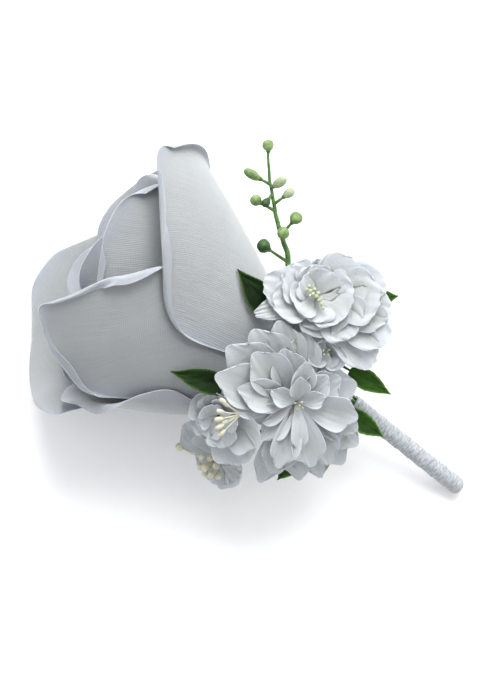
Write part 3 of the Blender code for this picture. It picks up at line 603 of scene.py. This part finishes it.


# the third colour of each silk is its painted edge glow, light showing through the thin cloth
ROSE_SILK = silk(
    "pressed_rose_silk", "#9C9FA0", "#939698", "#9EA2AA", ROSE_THREAD, 16.0, 0.035, 0.40 * MM, -59)
BLOSSOM_SILK = silk(
    "pressed_blossom_silk", "#ABAFAD", "#A1A5A3", "#B3B7BB", BLOSSOM_THREAD, 9.0, 0.02, 0.50 * MM, 0)
LEAF_GREEN = leaf_cloth("dyed_woven_leaf_polyester", "#16300A", "#2B5212", "#4F7D28", "#6C9440")
DARK_LEAF_GREEN = leaf_cloth("darker_woven_leaf_polyester", "#071003", "#142B09", "#27470F", "#3F6222")
GREEN_PLASTIC = moulded("moulded_green_polyethylene", "#35581F", "#4F7A34", "#244415", 0.35, 0.5, 0.3)
GREEN_FOAM = moulded("sprayed_green_berry_foam", "#56703C", "#85A065", "#3A5A24", 0.30, 0.55, 0.3)
DARK_FOAM = moulded("sprayed_dark_green_berry_foam", "#1F3F15", "#376022", "#12290B", 0.30, 0.5, 0.2)
PALE_FOAM = moulded("sprayed_pale_green_berry_foam", "#8D9C75", "#AAB596", "#647F4A", 0.30, 0.55, 0.35)
PEARL_CREAM = moulded("dipped_cream_stamen_paste", "#B0AE9A", "#C8C6B2", "#8C8970", 0.28, 0.42, 0.4)
THREAD_GREEN = moulded("stiffened_yellow_green_cotton", "#A0A488", "#B8BCA6", "#7F8760", 0.22, 0.7, 0.3)
TAPE_SATIN = satin_tape()
WIRE_LACQUER = lacquered_wire()

# ---------------------------------------------------------------- rose


def cup_radius(height, inset, flank_angle):
    """Radius of a cup at a height on its axis: a round bottom and a slanting, slightly bowed flank."""
    ball = CUP_RADIUS - inset
    flank = math.radians(flank_angle)
    turn_height = CUP_RADIUS - ball * math.sin(flank)
    low = ball * np.sqrt(np.clip(1.0 - ((CUP_RADIUS - height) / ball) ** 2, 0.0, 1.0))
    above = height - turn_height
    belly = FLANK_BELLY * np.sin(math.pi * np.clip(above / BELLY_LENGTH, 0.0, 1.0))
    return np.where(height <= turn_height, low, ball * math.cos(flank) + above * math.tan(flank) + belly)


def rose_petal(name, ring, level, rows, draw):
    """A petal's cloth in the rose's own frame: a patch of its cup with ripples towards the rim."""
    inset, flank = RINGS[ring]
    inset += level * PETAL_GAP
    path = curve_through(rows, PETAL_ROWS)
    height, start, stop = path[:, :1], path[:, 1:2], path[:, 2:]
    ease = (height - height[0]) / (height[-1] - height[0])
    u = np.linspace(0.0, 1.0, PETAL_ROWS)[None, :]
    angle = np.radians(start + (stop - start) * u)
    lift = height + RIM_BULGE * ease * (1.0 - (2.0 * u - 1.0) ** 2)
    radius = cup_radius(np.maximum(lift, inset + 0.35), inset, flank)
    side = np.abs(2.0 * u - 1.0)
    width = np.radians(stop - start) * cup_radius(height, inset, flank)
    lift = lift - CORNER_DROP * width * ease**5 * side**4
    radius = radius + RIPPLE * waves(u, ease * 1.3, draw, finest=1.6) * ease
    radius = radius + RIPPLE * ease**3 * waves(u * 1.2, ease * 0.4, draw, 3, 1.4)
    to_side = np.maximum((1.0 - side) / 2 * width * 0.85, 0.01)
    to_top = np.maximum((1.0 - ease) * (height[-1] - height[0]), 0.01)
    to_hem = (to_side**-3.0 + to_top**-3.0) ** (-1 / 3)
    radius = radius + RIM_FLARE * ease**3 * np.clip(1.0 - to_hem / FLARE_WIDTH, 0.0, 1.0) ** 2
    if name == "rose_petal_left":
        first, spread = DRAW_IN_ANGLES
        radius = radius - DRAW_IN * ease**1.5 * np.clip((np.degrees(angle) - first) / spread, 0.0, 1.0)
    lift = lift + 0.25 * ease**6 * waves(u, 0 * u, draw, 2, 1.2)
    across, upward = -radius * np.cos(angle), ROSE_FLATNESS * radius * np.sin(angle)
    return np.stack((across, upward, lift + 0 * angle), axis=-1)


def turn_margin(grid, side, widths, turn, radius):
    """Grows a strip past one side of a petal that turns outward, round a small radius and then straight."""
    work = grid.swapaxes(0, 1)
    work = work[::-1] if side == "from" else work
    edge = work[-1]
    reach = unit(edge - work[-3])
    face = unit(np.cross(np.gradient(edge, axis=0), reach))
    face *= np.sign((face[:, :2] * edge[:, :2]).sum())
    width = np.maximum(eased(widths, len(edge)), 0.12)
    most = math.radians(turn)
    strip = []
    for k in range(1, MARGIN_STEPS + 1):
        run = width * k / MARGIN_STEPS
        bent = np.minimum(run / radius, most)
        straight = np.maximum(run - radius * most, 0.0)
        forward = radius * np.sin(bent) + straight * math.cos(most)
        outward = radius * (1.0 - np.cos(bent)) + straight * math.sin(most)
        strip.append(edge + reach * forward[:, None] + face * outward[:, None])
    work = np.concatenate((work, np.array(strip)))
    work = work[::-1] if side == "from" else work
    return work.swapaxes(0, 1)


def rose_frame():
    """Rows are left, upward and forward for the rose. Its heart is the foot of its cup."""
    heading, rise = math.radians(ROSE_HEADING), math.radians(ROSE_RISE)
    axis = np.array((math.cos(heading) * math.cos(rise), math.sin(heading) * math.cos(rise), math.sin(rise)))
    left = unit(np.cross(UP, axis))
    return np.array((left, np.cross(axis, left), axis)), middle("rose_calyx") + axis * CALYX_DEPTH


def make_rose():
    """The petals ring by ring, the bud and the calyx."""
    turn, heart = rose_frame()
    for k, (node, (ring, level, rows, margins)) in enumerate(ROSE_PETALS.items()):
        draw = np.random.default_rng(SEED + k)
        grid = rose_petal(node, ring, level, rows, draw)
        for margin in margins:
            grid = turn_margin(grid, *margin)
        shape = Shape()
        shape.sheet(grid @ turn + heart, ROSE_CLOTH)
        shape.piece(node.replace("rose_petal", "silk_rose_petal"), ROSE_SILK, "rose_silk", node)
    make_bud(turn, heart)
    make_rose_cup(turn, heart)


def make_bud(turn, heart):
    """The tight heart of the rose: one strip of silk wound round itself."""
    rows, columns = 40, 150
    t = np.linspace(0.0, 1.0, columns)[None, :]
    h = np.linspace(0.0, 1.0, rows)[:, None]
    angle = 2 * math.pi * BUD_TURNS * t
    swell = 0.25 + 0.75 * np.sin(math.pi * np.clip(0.08 + h * 0.82, 0, 1)) ** 0.8
    radius = (BUD_CORE + BUD_GROWTH * t) * swell
    lift = BUD_FOOT + h * (BUD_HEIGHT + 2.0 * np.sin(angle * 0.9 + 1.0))
    grid = np.stack((radius * np.cos(angle), radius * np.sin(angle), lift + 0 * angle), axis=-1)
    shape = Shape()
    shape.sheet(grid @ turn + heart, ROSE_CLOTH)
    shape.piece("silk_rose_bud", ROSE_SILK, "rose_silk", "rose_bud_core")


def make_rose_cup(turn, heart):
    """The moulded green cup that holds the rose's petals to their wire."""
    shape = Shape()
    rings = np.array(ROSE_CALYX)
    path = curve_through([(0, 0, z) for z, _ in rings], 24)
    radii = np.interp(path[:, 2], rings[:, 0], rings[:, 1])
    shape.tube(path @ turn + heart, radii, 30)
    shape.piece("moulded_rose_calyx", GREEN_PLASTIC, "calyx_green", "rose_calyx")


# ---------------------------------------------------------------- blossoms


def petal(direction, length, half_width, climb, change, cup, tilt, style, draw, rise):
    """One petal's cloth about the blossom's own axis, from a narrow foot to a broad rounded end."""
    rows, columns = 30, 25
    s = np.linspace(0.0, 1.0, rows)
    slope = np.radians(climb + change * s**1.4)
    run = (length - style["foot"]) / np.cos(slope[:-1]).sum()
    out = style["foot"] + np.concatenate(([0.0], np.cumsum(np.cos(slope[:-1])) * run))
    up = rise + np.concatenate(([0.0], np.cumsum(np.sin(slope[:-1])) * run))
    u = np.linspace(-1.0, 1.0, columns)[None, :]
    widest = style["widest"]
    broad = style["waist"] + (1 - style["waist"]) * np.sin(math.pi / 2 * np.clip(s / widest, 0, 1)) ** 1.3
    past = np.clip((s - widest) / style["blunt"], 0, 0.99)
    broad = broad * np.sqrt(1 - past**2)
    width = half_width * broad[:, None]
    t = s[:, None]
    share = t * (1 - style["round"] * u**2 * t**3)
    share = share + style["jag"] * t**8 * waves(u * 3.2, 0 * u, draw, 5, 3.0)
    share = share - style["notch"] * t**6 * np.exp(-((u - draw.uniform(-0.2, 0.2)) / 0.16) ** 2)
    share = np.clip(share, 0, 1.06)
    normal_in, normal_up = -np.interp(share, s, np.sin(slope)), np.interp(share, s, np.cos(slope))
    reach = np.interp(share, s, out) + np.maximum(share - 1, 0) * length * math.cos(slope[-1])
    tall = np.interp(share, s, up) + np.maximum(share - 1, 0) * length * math.sin(slope[-1])
    hollow = cup * width * (u**2 - 0.25) * 2.2 * np.sin(math.pi / 2 * t) ** 1.2 * (1 - 0.85 * t**4)
    ribs = style["rib"] * np.cos(math.pi * style["ribs"] * u) * np.clip(t * 3, 0, 1) * (1 - 0.5 * t)
    ruffle = style["ruffle"] * t**2.2 * waves(u * 1.3, t * 0.5, draw, 3, 2.2) * (0.4 + 0.6 * np.abs(u))
    crease = -style["crease"] * np.exp(-(u / 0.12) ** 2) * t * (1.2 - t)
    h = hollow + ribs + ruffle + crease
    lean = math.radians(tilt)
    lateral = width * u * math.cos(lean)
    h = h + width * u * math.sin(lean) * np.clip(t * 1.6, 0, 1)
    x = reach + normal_in * h
    z = tall + normal_up * h
    turn = math.radians(direction)
    return np.stack((x * math.cos(turn) - lateral * math.sin(turn),
                     x * math.sin(turn) + lateral * math.cos(turn), z + 0 * u), axis=-1)


# What the press gives the petals: foot, width at the waist, where they are widest, how blunt and how
# round the end is, and the sizes of snipped teeth, notch, ribs, ruffle and centre crease.
STYLES = {
    "blossom_a": {"foot": 0.7, "waist": 0.36, "widest": 0.70, "blunt": 0.42, "round": 0.16, "jag": 0.012,
                  "notch": 0.03, "rib": 0.05, "ribs": 7, "ruffle": 0.6, "crease": 0.12},
    "blossom_b": {"foot": 0.7, "waist": 0.24, "widest": 0.70, "blunt": 0.345, "round": 0.16, "jag": 0.0,
                  "notch": 0.0, "rib": 0.07, "ribs": 6, "ruffle": 0.25, "crease": 0.15},
    "blossom_c": {"foot": 0.7, "waist": 0.34, "widest": 0.70, "blunt": 0.40, "round": 0.16, "jag": 0.008,
                  "notch": 0.02, "rib": 0.06, "ribs": 6, "ruffle": 0.40, "crease": 0.15},
    "blossom_d": {"foot": 0.7, "waist": 0.34, "widest": 0.70, "blunt": 0.40, "round": 0.18, "jag": 0.008,
                  "notch": 0.0, "rib": 0.06, "ribs": 6, "ruffle": 0.3, "crease": 0.15},
    "blossom_e": {"foot": 0.4, "waist": 0.50, "widest": 0.66, "blunt": 0.42, "round": 0.10, "jag": 0.0,
                  "notch": 0.0, "rib": 0.03, "ribs": 5, "ruffle": 0.15, "crease": 0.0},
}


def make_blossom(name, number):
    """A blossom's layers of petals, with its stamens and, apart from the smallest, its calyx."""
    facing, layers = BLOSSOMS[name]
    turn = aim(facing)
    if name == "blossom_e":
        heart = middle("blossom_e_stamens") - turn[2] * BARE_BLOSSOM_DEPTH
    else:
        heart = middle(f"{name}_calyx") + turn[2] * BLOSSOM_CALYX_DEPTH
        cup = Shape()
        profile = np.array(BLOSSOM_CALYX)
        path = curve_through([(0, 0, z) for z, _ in profile], 16)
        cup.tube(path @ turn + heart, np.interp(path[:, 2], profile[:, 0], profile[:, 1]), 20)
        cup.piece(f"moulded_{name}_calyx", GREEN_PLASTIC, "calyx_green", f"{name}_calyx")
    for level, (layer, petals) in enumerate(layers):
        shape = Shape()
        for k, values in enumerate(petals):
            draw = np.random.default_rng(SEED + 100 * number + 20 * level + k)
            grid = petal(*values, STYLES[name], draw, LAYER_STEP * level)
            shape.sheet(grid @ turn + heart, BLOSSOM_CLOTH)
        node = f"{name}_{layer}"
        shape.piece(f"silk_{node}", BLOSSOM_SILK, "blossom_silk", node)
    make_stamens(name, turn, heart)


def make_stamens(name, turn, heart):
    """Threads with a dipped head each, spreading from a tied foot."""
    kind, foot, thread, head, head_length, tips = STAMENS[name]
    shape = Shape()
    start = heart + np.array(foot) @ turn
    for k, (right, upward, out, size) in enumerate(tips):
        end = heart + np.array((right, upward, out)) @ turn
        bow = turn[2] * 0.3 * np.linalg.norm(end - start)
        line = curve_through([start, (start + end) / 2 + bow * 0.35, end], 10)
        way = unit(line[-1] - line[-2])
        shape.tube(line, np.full(10, thread), 8)
        swell = np.linspace(0, math.pi, 12)
        centre = line[-1] + way * head_length * size * 0.35
        along = centre - way * (head_length * size / 2) * np.cos(swell)[:, None]
        radii = np.maximum(head * size * np.sin(swell) ** 0.8 * (1 - 0.18 * np.cos(swell)), 0.05)
        lump = np.random.default_rng(SEED + k)
        phase = lump.uniform(0, 6.28, 2)
        shape.tube(along, radii, 14, lambda ring, angle, p=phase: (
            0.07 * head * np.sin(3 * angle + p[0]) * np.sin(ring * 0.9 + p[1])))
    finish = PEARL_CREAM if kind == "pearl" else THREAD_GREEN
    slot = "stamen_cream" if kind == "pearl" else "stamen_green"
    shape.piece(f"{name}_fine_stamens", finish, slot, f"{name}_stamens")


# ---------------------------------------------------------------- sprig


def make_sprig():
    """The sprig's stem, and berries and buds on stalks with a small collar each."""
    points = curve_through([placed(p) for p, _ in SPRIG_STEM], 60)
    radii = eased([r for _, r in SPRIG_STEM], 60)
    tail = curve_through([*(placed(p) for p in SPRIG_TAIL), points[0]], 30)
    stem = Shape()
    line = np.concatenate((tail[:-1], points))
    stem.tube(line, np.concatenate((np.linspace(0.5, radii[0], 29), radii)), 14,
              lambda ring, angle: 0.05 * np.sin(ring * 0.8 + angle) + 0.04 * np.sin(3 * angle))
    finishes = {"green": GREEN_FOAM, "dark": DARK_FOAM, "pale": PALE_FOAM}
    for k, (node, (leave, radius, stretch, tone)) in enumerate(BERRIES.items()):
        centre, start = middle(node), placed(leave)
        way = unit(centre - start)
        end = centre - way * radius * stretch * 0.94
        if node != "berry_top":
            stalk = curve_through([start, (start + end) / 2 + UP * 0.4, end], 12)
            stem.tube(stalk, np.linspace(0.5, 0.36, 12), 10)
        collar = np.array([end - way * 0.7, end - way * 0.3, end + way * 0.1, end + way * 0.3])
        stem.tube(collar, (0.38, 0.62, 0.7, 0.4), 12)
        swell = np.linspace(0.0, math.pi, 22)
        along = centre - way * radius * stretch * np.cos(swell)[:, None]
        ball = np.maximum(radius * np.sin(swell) ** 0.92 * (1 - 0.08 * np.cos(swell)), 0.05)
        draw = np.random.default_rng(SEED + 40 + k)
        phase = draw.uniform(0, 6.28, 3)
        berry = Shape()
        berry.tube(along, ball, 28, lambda ring, angle, p=phase, r=radius: r * (
            0.035 * np.sin(3 * angle + p[0]) * np.sin(ring * 0.35 + p[1])
            + 0.02 * np.sin(7 * angle + ring + p[2])))
        slot = "berry_pale" if tone == "pale" else "berry_green"
        berry.piece(f"sprayed_{node}", finishes[tone], slot, node)
    stem.piece("moulded_sprig_stem", GREEN_PLASTIC, "calyx_green", "sprig_stem")


# ---------------------------------------------------------------- leaves


def make_leaf(node, number):
    """A blade folded along its midrib, with pressed veins, and the wire rib under it."""
    base, tip, half_width, bow = LEAVES[node]
    base, tip = placed(base), placed(tip)
    draw = np.random.default_rng(SEED + 60 + number)
    rows, columns = 44, 33
    t = np.linspace(0.0, 1.0, rows)[:, None]
    u = np.linspace(-1.0, 1.0, columns)[None, :]
    width = half_width * (0.22 + 0.78 * np.sin(math.pi * np.minimum(1.0, 0.25 + 0.75 * t)) ** 0.8)
    width = np.maximum(0.12, width * (1.0 - t**3) ** 0.8)
    along = tip - base
    side = unit(np.cross(along, UP))
    lift = unit(np.cross(side, along))
    veins = VEIN_DEPTH * np.abs(np.sin(math.pi * (7.0 * t - 2.2 * np.abs(u)))) ** 3 * (1 - t) * np.abs(u)
    fold = LEAF_RISE * width * np.abs(u) + 0.10 * width * u**2
    h = bow * np.sin(math.pi * t) + fold - veins + 0.25 * waves(u * 0.8, t * 1.4, draw) * t
    edge = 1.0 + 0.03 * waves(t * 6.0, 0 * t, draw, 3)
    grid = (base + along * (t * (1 + 0 * u))[..., None] + side * (width * u * edge)[..., None]
            + lift * (h + 0 * u)[..., None])
    shape = Shape()
    shape.sheet(grid, LEAF_CLOTH)
    rib = np.array([
        base - unit(along) * 2.5 - lift * 0.6, base - lift * 0.3,
        base + along * 0.25 + lift * bow * 0.5, base + along * 0.8 + lift * bow * 0.5]) - lift * 0.35
    shape.tube(curve_through(list(rib), 16), np.linspace(0.42, 0.16, 16), 8)
    # the two leaves on the left get a darker copy of the leaf cloth
    finish = DARK_LEAF_GREEN if node.endswith("_left") else LEAF_GREEN
    shape.piece(f"cloth_{node}", finish, "leaf_cloth", node)


# ---------------------------------------------------------------- stem


def make_tape():
    """Ribbon wound in a spiral: each turn laps over the last, and the end is folded shut."""
    top, end = placed(STEM_TOP), placed(STEM_END)
    way = unit(end - top)
    length = np.linalg.norm(end - top) + STEM_OVERHANG
    rings, sides = 300, 56
    t = np.linspace(0.0, 1.0, rings)
    points = top + way * (t * length)[:, None]
    radii = np.full(rings, TAPE_RADIUS)
    last = np.clip((t * length - (length - TAPE_FOLD)) / TAPE_FOLD, 0, 1)
    radii = radii * np.sqrt(1 - 0.86 * last**2.4)
    draw = np.random.default_rng(SEED + 80)
    phases = draw.uniform(0, 2 * math.pi, 6)

    def lap(ring, angle):
        """The step where one turn of ribbon laps the last, and its creases."""
        run = ring / (rings - 1) * length
        spiral = np.mod(run / TAPE_PITCH + angle / (2 * math.pi), 1.0)
        step = 0.20 * spiral**1.6 - 0.05
        crinkle = 0.05 * np.sin(5 * angle + run * 2.4 + phases[0]) * np.sin(run * 3.1 + phases[1])
        crinkle = crinkle + 0.04 * np.sin(9 * angle - run * 3.7 + phases[2]) * np.sin(run * 1.3 + phases[3])
        return (step + crinkle) * (1 - last[ring] * 0.6) + 0.10 * np.sin(2 * angle + phases[4])

    shape = Shape()
    shape.tube(points, radii, sides, lap)
    shape.piece("wound_ribbon_stem", TAPE_SATIN, "tape_white", "stem_tape")


# ---------------------------------------------------------------- the whole piece

make_rose()
for number, name in enumerate(BLOSSOMS):
    make_blossom(name, number)
make_sprig()
for number, node in enumerate(LEAVES):
    make_leaf(node, number)
make_tape()
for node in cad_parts.values():  # the wires keep their own shape and get their lacquer
    if not node.hide_render:
        node.data.materials.clear()
        node.data.materials.append(WIRE_LACQUER)

# ---------------------------------------------------------------- floor, light and camera

FLOOR_SIDE = 4.0  # in metres, as are the rest of this part's sizes
FIBRES = 300.0  # paper fibres to a metre
ROOM_LIGHT = 1.20
WINDOW_PLACE, WINDOW_SIZE, WINDOW_POWER = (0.25, 1.5, 1.35), 1.5, 62.0
LENS, SENSOR = 200.0, 36.0  # in millimetres
VIEW_SPAN = 1.523  # the view's long side over the piece's length
VIEW_SHIFT = (-0.0197, -0.060)  # the view's middle beside the piece's, over its length and width
VIEW_LEVEL = 0.42  # the height at which the view spans that, over the piece's height


def make_floor():
    """A plain pale paper sheet under the piece."""
    made, tree, shader = start_material("pale_paper_floor", {"Roughness": 0.9, "Specular IOR Level": 0.1})
    space = add_node(tree, "TexCoord")
    fibre = add_node(tree, "TexNoise", None, {
        "Vector": space.outputs["Object"], "Scale": FIBRES, "Detail": 3.0})
    colour = add_node(tree, "Mix", {"data_type": "RGBA"}, {
        0: fibre, 6: linear("#F6F7F8"), 7: linear("#FBFBFC")})
    tree.links.new(colour.outputs[2], shader.inputs["Base Color"])
    mesh = bpy.data.meshes.new("floor")
    half = FLOOR_SIDE / 2
    corners = [(-half, -half, 0), (half, -half, 0), (half, half, 0), (-half, half, 0)]
    mesh.from_pydata(corners, [], [(0, 1, 2, 3)])
    mesh.materials.append(made)
    floor = bpy.data.objects.new("floor", mesh)
    bpy.context.scene.collection.objects.link(floor)


def make_light(name, place, size, power):
    """A square area light that looks at the piece."""
    lamp = bpy.data.lights.new(name, "AREA")
    lamp.size = size
    lamp.energy = power
    made = bpy.data.objects.new(name, lamp)
    made.location = place
    made.rotation_euler = (-made.location).to_track_quat("-Z", "Y").to_euler()
    bpy.context.scene.collection.objects.link(made)


def make_world(strength):
    """Soft light from all round, dimmer from the stem's side than from behind the sprig."""
    world = bpy.data.worlds.new("soft_room")
    world.use_nodes = True
    tree = world.node_tree
    way = add_node(tree, "TexCoord")
    parts = add_node(tree, "SeparateXYZ", None, {0: way.outputs["Generated"]})
    share = add_node(tree, "MapRange", None, {0: parts.outputs[1], 1: -1.0, 2: 0.6})
    tone = add_node(tree, "Mix", {"data_type": "RGBA"}, {
        0: share, 6: linear("#C0C2C5"), 7: linear("#FFFFFF")})
    background = tree.nodes["Background"]
    tree.links.new(tone.outputs[2], background.inputs["Color"])
    background.inputs["Strength"].default_value = strength
    bpy.context.scene.world = world


def make_camera():
    """Straight above the piece, with a long lens."""
    low, high = cad_box
    size = high - low
    rise = VIEW_SPAN * size.x * LENS / SENSOR
    camera = bpy.data.cameras.new("camera")
    camera.lens, camera.sensor_width = LENS, SENSOR
    camera.clip_end = 10.0
    made = bpy.data.objects.new("camera", camera)
    centre = (low + high) / 2
    made.location = (
        centre.x + VIEW_SHIFT[0] * size.x, centre.y + VIEW_SHIFT[1] * size.y, VIEW_LEVEL * size.z + rise)
    bpy.context.scene.collection.objects.link(made)
    bpy.context.scene.camera = made


make_floor()
make_world(ROOM_LIGHT)
make_light("window", WINDOW_PLACE, WINDOW_SIZE, WINDOW_POWER)
make_camera()
bpy.context.scene.view_settings.view_transform = "Standard"
bpy.context.scene.view_settings.look = "None"
